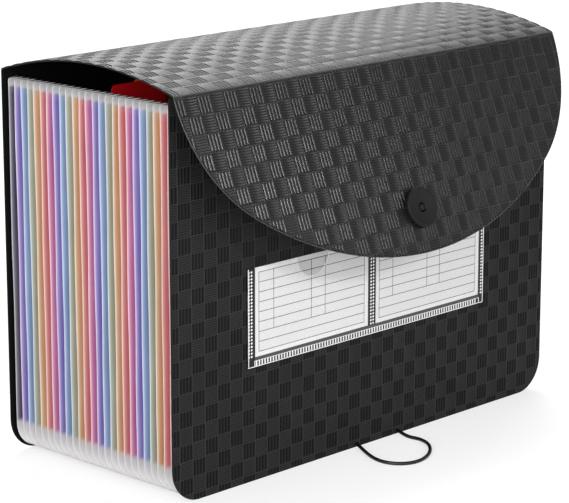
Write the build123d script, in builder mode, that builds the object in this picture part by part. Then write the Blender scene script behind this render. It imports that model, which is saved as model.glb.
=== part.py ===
from build123d import *
import os
from math import asin, atan2, cos, degrees, hypot, pi, radians, sin, tan

# Expanding file folder, standing open. Millimetres, +Z up, X across the covers, the front towards -Y.
# The origin is on the floor, under the middle of the folder's box.

# Covers, and the sheet that the covers, the top panel and the flap are cut from
cover_width = 330.0
cover_height = 234.5
cover_corner_radius = 21.0
cover_top_radius = 3.0
sheet_thickness = 1.0
folder_depth = 142.2

# Top panel: strips between score lines, in an arch from the back fold, which is a little lower, to the front fold
strip_count = 16
arch_rise = 11.1
back_fold_drop = 1.2
front_fold_overhang = 3.4
score_gap = 0.15
lid_rest_gap = 0.9

# Flap
flap_depth = 115.7
flap_tilt = 21.6
flap_shoulder_start = 3.0
flap_shoulder_radius = 89.0

# Closing button and its rivet
button_end_distance = 26.5
button_diameter = 24.2
button_disc_thickness = 2.0
button_edge_radius = 0.6
button_neck_diameter = 10.0
button_neck_height = 1.8
button_recess_diameter = 6.0
button_recess_depth = 0.7
rivet_diameter = 4.0
rivet_hole_clearance = 0.1
rivet_head_diameter = 9.0
rivet_head_thickness = 0.8
rivet_end_diameter = 5.4
rivet_end_thickness = 0.4

# Label holder and its cards
holder_width = 211.0
holder_bottom = 69.0
holder_height = 58.6
weld_strip_width = 5.6
centre_strip_width = 6.4
holder_film_thickness = 0.25
card_thickness = 0.25
card_side_clearance = 0.1
card_face_clearance = 0.1
card_bottom_clearance = 0.1
thumb_notch_radius = 13.0

# Pockets, gusset film and dividers
pocket_count = 25
gusset_overhang = 2.1
gusset_floor_gap = 2.0
gusset_top_gap = 6.0
gusset_corner_radius = 17.0
pleat_depth = 9.0
film_thickness = 0.3
divider_thickness = 0.4
divider_top_gap = 23.5
divider_edge_clearance = 0.3
divider_corner_ease = 5.0
tab_columns = 12
tab_side_margin = 12.5
tab_width = 42.0
tab_height = 18.0
tab_corner_radius = 3.0

# Elastic cord: its loop on the floor as (across, out from the front cover, up), and its barbs
cord_diameter = 2.2
cord_hole_clearance = 0.2
cord_exit_height = 2.2
cord_floor_height = 1.15
barb_length = 10.0
barb_height = 1.8
barb_thickness = 1.6
cord_loop = [
    (-12.0, -sheet_thickness, cord_exit_height),
    (-12.0, 4.2, cord_exit_height),
    (-18.4, 13.0, cord_floor_height),
    (-23.9, 24.5, cord_floor_height),
    (-25.0, 35.0, cord_floor_height),
    (-20.0, 43.8, cord_floor_height),
    (-10.5, 47.8, cord_floor_height),
    (1.0, 45.3, cord_floor_height),
    (12.0, 38.6, cord_floor_height),
    (20.6, 29.2, cord_floor_height),
    (23.6, 20.0, cord_floor_height),
    (21.9, 12.0, cord_floor_height),
    (24.8, 4.6, cord_exit_height),
    (24.8, -sheet_thickness, cord_exit_height),
]
cord_bend_share = 0.45

# Places along Y that follow from the sizes
half_sheet = sheet_thickness / 2
half_width = cover_width / 2
flap_reach = front_fold_overhang + flap_depth * sin(radians(flap_tilt)) + half_sheet * cos(radians(flap_tilt))
front_y = (flap_reach - folder_depth) / 2
back_y = front_y + folder_depth
front_inner_y = front_y + sheet_thickness
back_inner_y = back_y - sheet_thickness

# The arch of the top panel: score lines evenly spaced on a circle
arch_back_y = back_y - half_sheet
arch_front_y = front_y - front_fold_overhang
arch_half_chord = hypot(arch_back_y - arch_front_y, back_fold_drop) / 2
arch_lean = atan2(back_fold_drop, arch_back_y - arch_front_y)
arch_radius = (arch_half_chord**2 + arch_rise**2) / (2 * arch_rise)
arch_half_angle = asin(arch_half_chord / arch_radius)
strip_turn = 2 * arch_half_angle / strip_count
front_slope = arch_half_angle - arch_lean - strip_turn / 2
fold_z = cover_height + lid_rest_gap + half_sheet / cos(front_slope) - front_fold_overhang * tan(front_slope)
back_fold_z = fold_z - back_fold_drop
arch_centre_y = arch_front_y + arch_radius * sin(arch_half_angle - arch_lean)
arch_centre_z = fold_z - arch_radius * cos(arch_half_angle - arch_lean)


def score_line(index):
    """Y and Z of a score line of the top panel, counted from the back fold."""
    angle = arch_half_angle + arch_lean - index * strip_turn
    return arch_centre_y + arch_radius * sin(angle), arch_centre_z + arch_radius * cos(angle)


leaf_trim = half_sheet + score_gap
button_distance = flap_depth - button_end_distance
fold_y, _ = score_line(strip_count)

# Planes: the front cover's outer face, and the flap's middle with its outer side up
front_plane = Plane(origin=(0, front_y, 0), x_dir=(1, 0, 0), z_dir=(0, -1, 0))
back_plane = Plane(origin=(0, back_y, 0), x_dir=(1, 0, 0), z_dir=(0, -1, 0))
tilt = radians(flap_tilt)
flap_plane = Plane(origin=(0, fold_y, fold_z), x_dir=(1, 0, 0), z_dir=(0, -cos(tilt), sin(tilt)))

# Pleats and dividers
pleat_pitch = (back_inner_y - front_inner_y) / pocket_count
film_shift = film_thickness * hypot(pleat_depth, pleat_pitch / 2) / (pleat_pitch / 2)
gusset_half_width = half_width - gusset_overhang
gusset_top = cover_height - gusset_top_gap
divider_inset = pleat_depth + film_shift + divider_edge_clearance
divider_half_width = gusset_half_width - divider_inset
divider_bottom = gusset_floor_gap + divider_inset
divider_top = cover_height - divider_top_gap
divider_corner_radius = gusset_corner_radius - pleat_depth - film_shift + divider_corner_ease
tab_pitch = (2 * (divider_half_width - tab_side_margin) - tab_width) / (tab_columns - 1)

os.makedirs("parts", exist_ok=True)


def save(builder, name):
    builder.part.label = name
    export_step(builder.part, f"parts/{name}.step")


# Front cover: round lower corners, nearly square upper ones, two holes for the elastic cord
with BuildPart() as front_cover:
    with BuildSketch(front_plane) as front_outline:
        with Locations((0, cover_height / 2)):
            Rectangle(cover_width, cover_height)
        fillet(front_outline.vertices().group_by(Axis.Y)[0], cover_corner_radius)
        fillet(front_outline.vertices().group_by(Axis.Y)[-1], cover_top_radius)
        with Locations([(end[0], end[2]) for end in (cord_loop[0], cord_loop[-1])]):
            Circle(cord_diameter / 2 + cord_hole_clearance, mode=Mode.SUBTRACT)
    extrude(amount=-sheet_thickness)
save(front_cover, "front_cover")

# Back cover: its top edge is the round bead of the back fold
with BuildPart() as back_cover:
    with BuildSketch(back_plane) as back_outline:
        with Locations((0, back_fold_z / 2)):
            Rectangle(cover_width, back_fold_z)
        fillet(back_outline.vertices().group_by(Axis.Y)[0], cover_corner_radius)
    extrude(amount=sheet_thickness)
    with BuildSketch(Plane.YZ):
        with Locations((arch_back_y, back_fold_z)):
            Circle(half_sheet)
    extrude(amount=half_width, both=True)
save(back_cover, "back_cover")

# Top panel: each strip starts just clear of one score line and ends in the round bead of the next
for index in range(strip_count):
    start_y, start_z = score_line(index)
    end_y, end_z = score_line(index + 1)
    strip_length = hypot(end_y - start_y, end_z - start_z)
    strip_angle = degrees(atan2(start_z - end_z, start_y - end_y))
    with BuildPart() as strip:
        with BuildSketch(Plane.YZ):
            with Locations(Location((end_y, end_z, 0), strip_angle)):
                Circle(half_sheet)
                Rectangle(strip_length - leaf_trim, sheet_thickness, align=(Align.MIN, Align.CENTER))
        extrude(amount=half_width, both=True)
    save(strip, f"top_strip_{index + 1:02d}")

# Flap: straight sides, round shoulders and one wide arc across the end, all tangent
shoulder_centre_x = half_width - flap_shoulder_radius
end_drop = flap_shoulder_start - flap_depth
end_radius = (flap_shoulder_radius**2 - shoulder_centre_x**2 - end_drop**2) / (
    2 * (end_drop + flap_shoulder_radius)
)
end_centre = end_radius - flap_depth
to_shoulder = hypot(shoulder_centre_x, flap_shoulder_start + end_centre)
tangent_x = end_radius * shoulder_centre_x / to_shoulder
tangent_y = end_centre - end_radius * (flap_shoulder_start + end_centre) / to_shoulder
with BuildPart() as flap:
    with BuildSketch(flap_plane.offset(-half_sheet)):
        with BuildLine():
            left_side = Line((-half_width, -leaf_trim), (-half_width, -flap_shoulder_start))
            left_shoulder = TangentArc(left_side @ 1, (-tangent_x, tangent_y), tangent=left_side % 1)
            flap_end = TangentArc(left_shoulder @ 1, (tangent_x, tangent_y), tangent=left_shoulder % 1)
            right_shoulder = TangentArc(
                flap_end @ 1, (half_width, -flap_shoulder_start), tangent=flap_end % 1
            )
            Polyline(right_shoulder @ 1, (half_width, -leaf_trim), left_side @ 0)
        make_face()
        with Locations((0, -button_distance)):
            Circle(rivet_diameter / 2 + rivet_hole_clearance, mode=Mode.SUBTRACT)
    extrude(amount=sheet_thickness)
save(flap, "flap")

# Button: a disc on a neck, so that the cord catches behind it, with a recess for the rivet's end
button_place = (0, -button_distance)
neck_plane = flap_plane.offset(half_sheet)
disc_plane = neck_plane.offset(button_neck_height)
button_top = button_neck_height + button_disc_thickness
with BuildPart() as button:
    with BuildSketch(neck_plane):
        with Locations(button_place):
            Circle(button_neck_diameter / 2)
    extrude(amount=button_neck_height)
    with BuildSketch(disc_plane):
        with Locations(button_place):
            Circle(button_diameter / 2)
    disc = extrude(amount=button_disc_thickness)
    fillet(disc.edges().filter_by(GeomType.CIRCLE).sort_by(SortBy.LENGTH)[-2:], button_edge_radius)
    with BuildSketch(neck_plane.offset(button_top - button_recess_depth)):
        with Locations(button_place):
            Circle(button_recess_diameter / 2)
    extrude(amount=button_recess_depth, mode=Mode.SUBTRACT)
    with BuildSketch(neck_plane):
        with Locations(button_place):
            Circle(rivet_diameter / 2 + rivet_hole_clearance)
    extrude(amount=button_top, mode=Mode.SUBTRACT)
save(button, "button")

# Rivet: a flat head behind the flap, a shank through flap and button, and the spread end in the recess
rivet_length = sheet_thickness + button_top - button_recess_depth
with BuildPart() as rivet:
    with BuildSketch(flap_plane.offset(-half_sheet)):
        with Locations(button_place):
            Circle(rivet_head_diameter / 2)
    extrude(amount=-rivet_head_thickness)
    with BuildSketch(flap_plane.offset(-half_sheet)):
        with Locations(button_place):
            Circle(rivet_diameter / 2)
    extrude(amount=rivet_length)
    with BuildSketch(flap_plane.offset(rivet_length - half_sheet)):
        with Locations(button_place):
            Circle(rivet_end_diameter / 2)
    extrude(amount=rivet_end_thickness)
save(rivet, "button_rivet")

# Label holder: clear film, welded to the cover along its sides, bottom and middle, open at the top
holder_depth = card_thickness + 2 * card_face_clearance
window_width = (holder_width - 2 * weld_strip_width - centre_strip_width) / 2
window_x = (centre_strip_width + window_width) / 2
window_height = holder_height - weld_strip_width
window_bottom = holder_bottom + weld_strip_width
holder_top = holder_bottom + holder_height
window_places = [(-window_x, window_bottom), (window_x, window_bottom)]
with BuildPart() as label_holder:
    with BuildSketch(front_plane):
        with Locations((0, holder_bottom)):
            Rectangle(holder_width, holder_height, align=(Align.CENTER, Align.MIN))
    extrude(amount=holder_depth + holder_film_thickness)
    with BuildSketch(front_plane):
        with Locations(window_places):
            Rectangle(window_width, window_height, align=(Align.CENTER, Align.MIN))
    extrude(amount=holder_depth, mode=Mode.SUBTRACT)
    with BuildSketch(front_plane.offset(holder_depth)):
        with Locations((-window_x, holder_top), (window_x, holder_top)):
            Circle(thumb_notch_radius)
    extrude(amount=holder_film_thickness, mode=Mode.SUBTRACT)
save(label_holder, "label_holder")

# Label cards: they stand on the bottom weld and reach the holder's open top
card_width = window_width - 2 * card_side_clearance
card_bottom = window_bottom + card_bottom_clearance
for side, card_x in (("left", -window_x), ("right", window_x)):
    with BuildPart() as card:
        with BuildSketch(front_plane.offset(card_face_clearance)):
            with Locations((card_x, card_bottom)):
                Rectangle(card_width, holder_top - card_bottom, align=(Align.CENTER, Align.MIN))
        extrude(amount=card_thickness)
    save(card, f"label_card_{side}")

# Gusset film: one zigzag section carried down the left side, round the corners and up the right side
outer_line = []
for index in range(pocket_count):
    valley_y = front_inner_y + index * pleat_pitch
    outer_line.append((pleat_depth, valley_y))
    outer_line.append((0, valley_y + pleat_pitch / 2))
outer_line.append((pleat_depth, back_inner_y))
inner_line = [(depth + film_shift, y) for depth, y in reversed(outer_line)]
gusset_corner_z = gusset_floor_gap + gusset_corner_radius
gusset_corner_x = gusset_half_width - gusset_corner_radius
with BuildPart() as gusset_film:
    with BuildLine() as gusset_path:
        left_run = Line((-gusset_half_width, 0, gusset_top), (-gusset_half_width, 0, gusset_corner_z))
        left_corner = TangentArc(
            left_run @ 1, (-gusset_corner_x, 0, gusset_floor_gap), tangent=left_run % 1
        )
        bottom_run = Line(left_corner @ 1, (gusset_corner_x, 0, gusset_floor_gap))
        right_corner = TangentArc(
            bottom_run @ 1, (gusset_half_width, 0, gusset_corner_z), tangent=bottom_run % 1
        )
        Line(right_corner @ 1, (gusset_half_width, 0, gusset_top))
    with BuildSketch(Plane.XY.offset(gusset_top)):
        with BuildLine():
            Polyline([(depth - gusset_half_width, y) for depth, y in outer_line + inner_line], close=True)
        make_face()
    sweep(path=gusset_path.wire())
save(gusset_film, "gusset_film")

# Dividers: coloured sheets between the pockets, each with its tab one column further to the right
for index in range(1, pocket_count):
    sheet_y = front_inner_y + index * pleat_pitch - divider_thickness / 2
    tab_x = (((index - 1) % tab_columns) - (tab_columns - 1) / 2) * tab_pitch
    with BuildPart() as divider:
        with BuildSketch(Plane(origin=(0, sheet_y, 0), x_dir=(1, 0, 0), z_dir=(0, -1, 0))) as sheet_outline:
            with Locations((0, divider_bottom)):
                Rectangle(
                    2 * divider_half_width, divider_top - divider_bottom, align=(Align.CENTER, Align.MIN)
                )
            fillet(sheet_outline.vertices().group_by(Axis.Y)[0], divider_corner_radius)
            with Locations((tab_x, divider_top)):
                Rectangle(tab_width, tab_height, align=(Align.CENTER, Align.MIN))
            fillet(sheet_outline.vertices().group_by(Axis.Y)[-1], tab_corner_radius)
        extrude(amount=-divider_thickness)
    save(divider, f"divider_{index:02d}")

# Elastic cord: a round tube of straight runs and wide tangent arcs, from barb to barb
cord_points = [Vector(x, front_y - out, z) for x, out, z in cord_loop]
cord_radii = []
for before, corner, after in zip(cord_points, cord_points[1:], cord_points[2:]):
    run_in = corner - before
    run_out = after - corner
    turn = radians(run_in.get_angle(run_out))
    cord_radii.append(cord_bend_share * min(run_in.length, run_out.length) / tan(turn / 2))
with BuildPart() as cord:
    with BuildLine() as cord_path:
        FilletPolyline(*cord_points, radius=cord_radii)
    cord_start = Plane(origin=cord_points[0], z_dir=cord_points[1] - cord_points[0])
    with BuildSketch(cord_start):
        Circle(cord_diameter / 2)
    sweep(path=cord_path.wire())
save(cord, "elastic_cord")
cord_length = cord_path.wire().length
print("cord bend radii", [round(radius, 1) for radius in cord_radii])
print("cord length", round(cord_length, 1), "volume", round(cord.part.volume, 1))
print("section times length", round(pi * cord_diameter**2 / 4 * cord_length, 1))

# Barbs: cross bars on the cord's two ends, against the inside of the front cover
with BuildPart() as barbs:
    with BuildSketch(front_plane.offset(-sheet_thickness)):
        with Locations([(end[0], end[2]) for end in (cord_loop[0], cord_loop[-1])]):
            SlotOverall(barb_length, barb_height)
    extrude(amount=-barb_thickness)
save(barbs, "cord_barbs")
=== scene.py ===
"""Looks of an expanding file folder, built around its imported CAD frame.

Sizes are in millimetres until a mesh is made.
"""

from math import asin, atan2, cos, hypot, pi, radians, sin, sqrt, tan

import bpy
import numpy as np
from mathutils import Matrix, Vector


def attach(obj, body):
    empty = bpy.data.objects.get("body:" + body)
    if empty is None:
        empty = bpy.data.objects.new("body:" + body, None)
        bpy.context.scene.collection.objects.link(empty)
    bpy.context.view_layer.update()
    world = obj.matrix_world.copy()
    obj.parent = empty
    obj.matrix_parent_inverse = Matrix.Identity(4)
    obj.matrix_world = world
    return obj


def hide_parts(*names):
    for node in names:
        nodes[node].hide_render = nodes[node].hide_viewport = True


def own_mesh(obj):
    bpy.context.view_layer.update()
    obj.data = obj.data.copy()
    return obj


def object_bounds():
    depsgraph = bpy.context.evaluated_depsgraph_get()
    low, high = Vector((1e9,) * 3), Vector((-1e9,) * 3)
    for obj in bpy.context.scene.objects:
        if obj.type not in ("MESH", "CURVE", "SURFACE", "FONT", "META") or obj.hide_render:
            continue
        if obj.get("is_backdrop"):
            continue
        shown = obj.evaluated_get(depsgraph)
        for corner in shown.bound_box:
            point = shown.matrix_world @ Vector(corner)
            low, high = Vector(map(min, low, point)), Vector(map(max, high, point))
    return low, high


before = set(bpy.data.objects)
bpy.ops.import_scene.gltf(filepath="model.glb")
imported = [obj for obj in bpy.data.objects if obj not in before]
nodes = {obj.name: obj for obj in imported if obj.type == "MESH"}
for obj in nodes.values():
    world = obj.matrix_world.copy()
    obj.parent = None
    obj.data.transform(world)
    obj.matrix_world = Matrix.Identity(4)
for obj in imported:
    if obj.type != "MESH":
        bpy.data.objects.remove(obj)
cad_low, cad_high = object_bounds()
scene = bpy.context.scene

# Covers, and the sheet that the covers, the top panel and the flap are cut from
COVER_WIDTH = 330.0
COVER_HEIGHT = 234.5
COVER_CORNER_RADIUS = 21.0
COVER_TOP_RADIUS = 3.0
SHEET = 1.0
FOLDER_DEPTH = 142.2
EDGE_BEVEL = 0.3

# Top panel
STRIP_COUNT = 16
STRIPS_PER_LEAF = 4
ARCH_RISE = 11.1
BACK_FOLD_DROP = 1.2
FOLD_OVERHANG = 3.4
LID_REST_GAP = 0.9
CREASE_DIP = 0.25
STRIP_CROWN = 0.15
CREASE_BEAD_RADIUS = 0.15
FOLD_BEAD_CLEARANCE = 0.05
# What the strips are cut short by at the creases that move, and the sheets at the two folds
LEAF_TRIM = 0.05
FOLD_TRIM = 0.42
# Lines added along the ridges of an upright square, and the rows of its grid that they repeat
STRIP_MIDDLE = (0.35, 0.65)
STRIP_ROWS = [0, 1, 2, 2, 3, 3, 4, 5]
STRIP_EDGE_POINTS = 13

# Flap, button and rivet
FLAP_DEPTH = 115.7
FLAP_TILT = 21.6
FLAP_SHOULDER_START = 3.0
FLAP_SHOULDER_RADIUS = 89.0
BUTTON_DISTANCE = 89.2
BUTTON_HOLE = 2.1
NECK_RADIUS = 5.0
DISC_RADIUS = 11.5
DISC_ROUND = 0.6
DISC_FOOT = 1.8
DISC_TOP = 3.8
DISC_FACE = 3.72
DIMPLE_RADIUS = 3.0
DIMPLE_FOOT = 2.5
RIVET_RADIUS = 2.0
RIVET_TOP = 3.0
RIVET_HEAD_RADIUS = 4.5

# Weave: squares with upright ridges beside squares with level ridges
SQUARE = 10.0
WEAVE_X = 0.75
WEAVE_Z = 4.3
FLAP_ROW = 10.7
FLAP_ROW_START = 1.8
RIDGE_TAPER = 0.05
EDGE_SPANS = 10
# Upright and level squares: ridges, faces across a ridge, depth of the grooves, and tones of ridges, grooves, borders
# These tones hold painted light: grooves darker as painted shade, borders paler as a painted highlight, and upright and
# level squares, and each sheet, toned apart for the light they get
COVER_WEAVE = ((4, 8, 0.42, 0.019, 0.007, 0.042), (7, 4, 0.2, 0.033, 0.013, 0.042))
LID_WEAVE = ((4, 8, 0.42, 0.022, 0.01, 0.032), (7, 4, 0.2, 0.025, 0.015, 0.032))
FLAP_WEAVE = ((4, 8, 0.42, 0.016, 0.007, 0.03), (7, 4, 0.2, 0.02, 0.009, 0.03))
COVER_EDGE_TONE = 0.008
# The flap's bevelled rim and fold bead are toned paler: a painted highlight
FLAP_EDGE_HIGHLIGHT = 0.06
PLAIN_TONE = 0.007
LINING_TONE = 0.02
# Painted highlight: the sheet is toned paler along a crease
CREASE_HIGHLIGHT_TONE = 0.2

# Label holder and its cards
HOLDER_WIDTH = 211.0
HOLDER_BOTTOM = 69.0
HOLDER_HEIGHT = 58.6
WELD_WIDTH = 5.6
RIGHT_WELD_TRIM = 1.3
CENTRE_WELD_WIDTH = 6.4
HOLDER_FILM = 0.25
CARD = 0.25
CARD_CLEARANCE = 0.1
NOTCH_RADIUS = 13.0
NOTCH_EDGE = 0.35
NOTCH_GAP = 0.02
NOTCH_STEPS = 24
# Weld marks: how far they stand out from the film, and their places in the welds
BLACK_PROUD, GREY_PROUD, WHITE_PROUD, SIDE_PROUD, NOTCH_PROUD = 0.03, 0.06, 0.1, 0.08, 0.05
FOOT_LINE = 0.45
SIDE_LINE = 0.6
GREY_LOW, GREY_HIGH = 3.7, 5.5
BAR_LOW, BAR_HIGH = 0.6, 3.4
BAR_PITCH, BAR_HALF = 2.3, 0.5
DOT_PITCH = 2.0
DOT_HALF_HEIGHT = 0.8
# Ruling of the cards
RULE_PITCH = 5.88
RULE_WIDTH = 0.42
RULE_ROWS = 8
UNDIVIDED_ROWS = 2
RULED_MARGIN = 3.4
RULED_FOOT = 2.85
CARD_COLUMNS = (15.6, 47.1, 58.9)
PANEL_PROUD, COLUMN_PROUD, ROW_PROUD, PRINT_DEPTH = 0.015, 0.03, 0.04, 0.05

# Pleated film
POCKETS = 25
GUSSET_OVERHANG = 2.1
GUSSET_FLOOR_GAP = 2.0
GUSSET_TOP = 228.5
GUSSET_CORNER = 17.0
PLEAT_DEPTH = 9.0
FILM = 0.3
FOLD_ROUND = 0.5
TOP_ROUND = 1.5

# Elastic cord: (across, out from the front cover, up)
CORD_DIAMETER = 2.2
CORD_ROUTE = [
    (-11.4, -1.0, 2.2), (-14.4, 4.6, 1.8), (-18.4, 13.0, 1.15), (-23.9, 24.5, 1.15), (-25.0, 35.0, 1.15),
    (-20.0, 43.8, 1.15), (-10.5, 47.8, 1.15), (1.0, 45.3, 1.15), (12.0, 38.6, 1.15), (20.6, 29.2, 1.15),
    (23.6, 20.0, 1.15), (21.9, 12.0, 1.15), (23.3, 5.0, 1.8), (25.3, -1.0, 2.2),
]

# Places that follow from the sizes
HALF_SHEET = SHEET / 2
HALF_WIDTH = COVER_WIDTH / 2
TILT = radians(FLAP_TILT)
FLAP_REACH = FOLD_OVERHANG + FLAP_DEPTH * sin(TILT) + HALF_SHEET * cos(TILT)
FRONT_Y = (FLAP_REACH - FOLDER_DEPTH) / 2
BACK_Y = FRONT_Y + FOLDER_DEPTH
FRONT_INNER_Y = FRONT_Y + SHEET
BACK_INNER_Y = BACK_Y - SHEET
ARCH_BACK_Y = BACK_Y - HALF_SHEET
ARCH_FRONT_Y = FRONT_Y - FOLD_OVERHANG
FOLD_Y = ARCH_FRONT_Y
ARCH_HALF_CHORD = hypot(ARCH_BACK_Y - ARCH_FRONT_Y, BACK_FOLD_DROP) / 2
ARCH_LEAN = atan2(BACK_FOLD_DROP, ARCH_BACK_Y - ARCH_FRONT_Y)
ARCH_RADIUS = (ARCH_HALF_CHORD**2 + ARCH_RISE**2) / (2 * ARCH_RISE)
ARCH_HALF_ANGLE = asin(ARCH_HALF_CHORD / ARCH_RADIUS)
STRIP_TURN = 2 * ARCH_HALF_ANGLE / STRIP_COUNT
FRONT_SLOPE = ARCH_HALF_ANGLE - ARCH_LEAN - STRIP_TURN / 2
FOLD_Z = COVER_HEIGHT + LID_REST_GAP + HALF_SHEET / cos(FRONT_SLOPE) - FOLD_OVERHANG * tan(FRONT_SLOPE)
BACK_FOLD_Z = FOLD_Z - BACK_FOLD_DROP
ARCH_CENTRE_Y = ARCH_FRONT_Y + ARCH_RADIUS * sin(ARCH_HALF_ANGLE - ARCH_LEAN)
ARCH_CENTRE_Z = FOLD_Z - ARCH_RADIUS * cos(ARCH_HALF_ANGLE - ARCH_LEAN)
PLEAT_PITCH = (BACK_INNER_Y - FRONT_INNER_Y) / POCKETS
FILM_SHIFT = FILM * hypot(PLEAT_DEPTH, PLEAT_PITCH / 2) / (PLEAT_PITCH / 2)
GUSSET_HALF_WIDTH = HALF_WIDTH - GUSSET_OVERHANG
FOLD_BEAD_RADIUS = HALF_SHEET - FOLD_BEAD_CLEARANCE


def score_line(index):
    """Y and Z of a score line of the top panel, counted from the back fold."""
    angle = ARCH_HALF_ANGLE + ARCH_LEAN - index * STRIP_TURN
    return ARCH_CENTRE_Y + ARCH_RADIUS * sin(angle), ARCH_CENTRE_Z + ARCH_RADIUS * cos(angle)


# Materials
CLOUD_SCALE = 45.0
GLOSS_VARY = 0.14
NOISE_LOW, NOISE_HIGH = 0.3, 0.7
BUMP_DEPTH = 0.0001


def linear(red, green, blue):
    """A screen colour, 0 to 255, as the linear colour that renders as it."""
    found = []
    for value in (red, green, blue):
        share = value / 255
        found.append(share / 12.92 if share <= 0.04045 else ((share + 0.055) / 1.055) ** 2.4)
    return tuple(found)


def map_range(tree, source, from_low, from_high, to_low, to_high):
    """A node that maps one range of values to another."""
    node = tree.nodes.new("ShaderNodeMapRange")
    for socket, value in (
        ("From Min", from_low), ("From Max", from_high), ("To Min", to_low), ("To Max", to_high),
    ):
        node.inputs[socket].default_value = value
    tree.links.new(source, node.inputs["Value"])
    return node.outputs["Result"]


def finish(name, colour, roughness, specular, relief, grain=1400.0, vary=0.08, attribute=None, **sockets):
    """A plastic or paper with cloudy gloss and colour, and fine grain; the colour may come from a mesh attribute."""
    material = bpy.data.materials.new(name)
    material.use_nodes = True
    tree = material.node_tree
    shader = tree.nodes["Principled BSDF"]
    shader.inputs["Specular IOR Level"].default_value = specular
    for socket, value in sockets.items():
        shader.inputs[socket.replace("_", " ")].default_value = value
    place = tree.nodes.new("ShaderNodeTexCoord")

    def noise(scale, detail):
        node = tree.nodes.new("ShaderNodeTexNoise")
        node.inputs["Scale"].default_value = scale
        node.inputs["Detail"].default_value = detail
        tree.links.new(place.outputs["Object"], node.inputs["Vector"])
        return node.outputs[0]

    def spread(source, low, high):
        return map_range(tree, source, NOISE_LOW, NOISE_HIGH, low, high)

    cloud = noise(CLOUD_SCALE, 5.0)
    gloss = spread(cloud, (1 - GLOSS_VARY) * roughness, (1 + GLOSS_VARY) * roughness)
    tree.links.new(gloss, shader.inputs["Roughness"])
    shade = tree.nodes.new("ShaderNodeVectorMath")
    shade.operation = "SCALE"
    if attribute:
        paint = tree.nodes.new("ShaderNodeVertexColor")
        paint.layer_name = attribute
        tree.links.new(paint.outputs["Color"], shade.inputs[0])
    else:
        shade.inputs[0].default_value = colour
    tree.links.new(spread(cloud, 1 - vary, 1 + vary), shade.inputs["Scale"])
    tree.links.new(shade.outputs[0], shader.inputs["Base Color"])
    bump = tree.nodes.new("ShaderNodeBump")
    bump.inputs["Strength"].default_value = relief
    bump.inputs["Distance"].default_value = BUMP_DEPTH
    tree.links.new(noise(grain, 2.0), bump.inputs["Height"])
    tree.links.new(bump.outputs["Normal"], shader.inputs["Normal"])
    return material


cover_black = finish("cover_black", None, 0.25, 0.04, 0.2, attribute="tone")
lid_black = finish("lid_black", None, 0.22, 0.12, 0.2, attribute="tone")
flap_black = finish("flap_black", None, 0.22, 0.26, 0.2, attribute="tone")
button_black = finish("button_black", linear(27, 27, 28), 0.45, 0.12, 0.2)
cord_black = finish("cord_black", linear(8, 8, 9), 0.35, 0.45, 0.8, grain=2200.0)
# Near black for the floor round the rivet in the button's recess: painted shade
recess_painted_shade = finish("recess_painted_shade", linear(6, 6, 6), 0.7, 0.05, 0.2)
paper_white = finish("paper_white", linear(243, 243, 243), 0.75, 0.3, 0.15, vary=0.01)
panel_white = finish("panel_white", linear(232, 232, 232), 0.75, 0.3, 0.15, vary=0.01)
ruling_grey = finish("ruling_grey", linear(48, 48, 52), 0.8, 0.2, 0.1)
film_clear = finish("film_clear", (0.92, 0.92, 0.92), 0.16, 0.5, 0.1, grain=300.0, vary=0.02, Alpha=0.12)
# A grey see-through sheet for the thumb notches: painted shade
notch_shade = finish("notch_shade", linear(90, 90, 92), 0.4, 0.2, 0.1, grain=300.0, Alpha=0.13)
weld_black = finish("weld_black", linear(20, 20, 21), 0.35, 0.25, 0.2)
weld_grey = finish("weld_grey", linear(70, 70, 72), 0.35, 0.3, 0.2)
weld_white = finish("weld_white", linear(246, 246, 247), 0.4, 0.4, 0.3)
barb_black = finish("barb_black", linear(30, 30, 30), 0.4, 0.4, 0.2)
DIVIDER_COLOURS = {
    "red": linear(205, 16, 26),
    "orange": linear(226, 118, 44),
    "olive": linear(150, 146, 92),
    "blue": linear(62, 112, 196),
    "purple": linear(70, 50, 176),
    "pink": linear(204, 56, 152),
}
COLOUR_ORDER = list(DIVIDER_COLOURS)
divider_materials = {c: finish(f"divider_{c}", DIVIDER_COLOURS[c], 0.4, 0.4, 0.3) for c in COLOUR_ORDER}
pleat_film = finish("pleat_film", None, 0.42, 0.3, 0.1, grain=500.0, vary=0.03, attribute="tint")

# Meshes
# Material slot of the inner face of an embossed sheet
LINING = 1


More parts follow.
